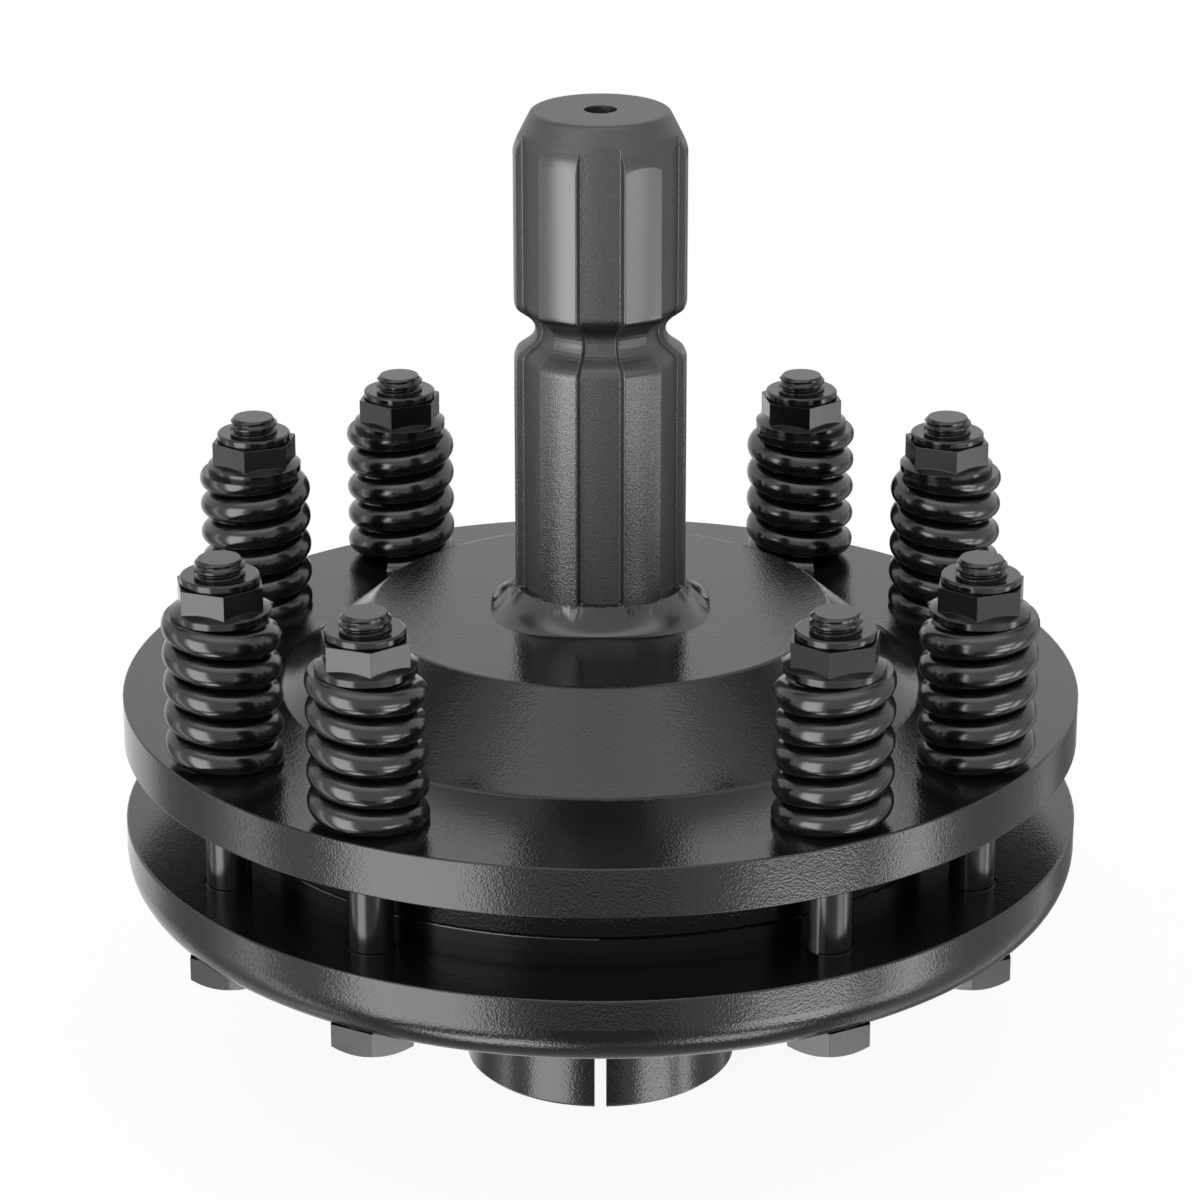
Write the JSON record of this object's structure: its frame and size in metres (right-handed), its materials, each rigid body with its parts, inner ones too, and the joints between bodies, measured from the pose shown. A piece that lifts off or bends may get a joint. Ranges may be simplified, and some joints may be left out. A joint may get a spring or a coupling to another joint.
{
  "type": "power take-off shaft coupling",
  "caption": "Friction slip clutch for a power take-off shaft: splined stub on a cover plate, sprung pressure plate below, and a hub with a splined bore.",
  "frame": {"origin": "centre of the hub's lower end face, on the axis of rotation", "axes": "+Z along the shaft axis towards the stub's end, -Y towards the slit in the hub"},
  "size_m": [0.1976, 0.1976, 0.2059],
  "materials": {
    "black_hub": "satin black paint",
    "black_cover": "semi-gloss black powder coat with orange peel",
    "black_disc": "semi-gloss black powder coat with orange peel",
    "black_stub": "satin black over machined splines",
    "black_weld": "gloss black over a rippled weld",
    "black_spring": "gloss black coat",
    "black_bolt": "black oxide, satin",
    "black_nut": "black, semi-gloss",
    "friction_lining": "moulded friction composite, black edge",
    "bronze_bush": "turned bronze"
  },
  "bodies": {
    "hub": {"hub": "black_hub", "lower_lining": "friction_lining", "upper_lining": "friction_lining"},
    "cover": {"cover_plate": "black_cover", "pilot_bush": "bronze_bush", "stub_shaft": "black_stub", "weld_bead": "black_weld", "spring_1": "black_spring", "spring_2": "black_spring", "spring_3": "black_spring", "spring_4": "black_spring", "spring_5": "black_spring", "spring_6": "black_spring", "spring_7": "black_spring", "spring_8": "black_spring"},
    "pressure_plate": {"pressure_disc": "black_disc", "clutch_bolt_1": "black_bolt", "clutch_bolt_2": "black_bolt", "clutch_bolt_3": "black_bolt", "clutch_bolt_4": "black_bolt", "clutch_bolt_5": "black_bolt", "clutch_bolt_6": "black_bolt", "clutch_bolt_7": "black_bolt", "clutch_bolt_8": "black_bolt", "lock_nut_1": "black_nut", "lock_nut_2": "black_nut", "lock_nut_3": "black_nut", "lock_nut_4": "black_nut", "lock_nut_5": "black_nut", "lock_nut_6": "black_nut", "lock_nut_7": "black_nut", "lock_nut_8": "black_nut"}
  },
  "joints": [
    {"name": "clutch_slip", "type": "hinge", "parent": "hub", "child": "cover", "pos_m": [0, 0, 0.0856], "axis": [0, 0, 1], "continuous": true},
    {"name": "pressure_travel", "type": "slide", "parent": "cover", "child": "pressure_plate", "axis": [0, 0, -1], "range_m": [0, 0.0015], "stiffness_N_per_m": 200000, "springref_m": -0.001, "deforming": ["spring_1", "spring_2", "spring_3", "spring_4", "spring_5", "spring_6", "spring_7", "spring_8"]}
  ]
}
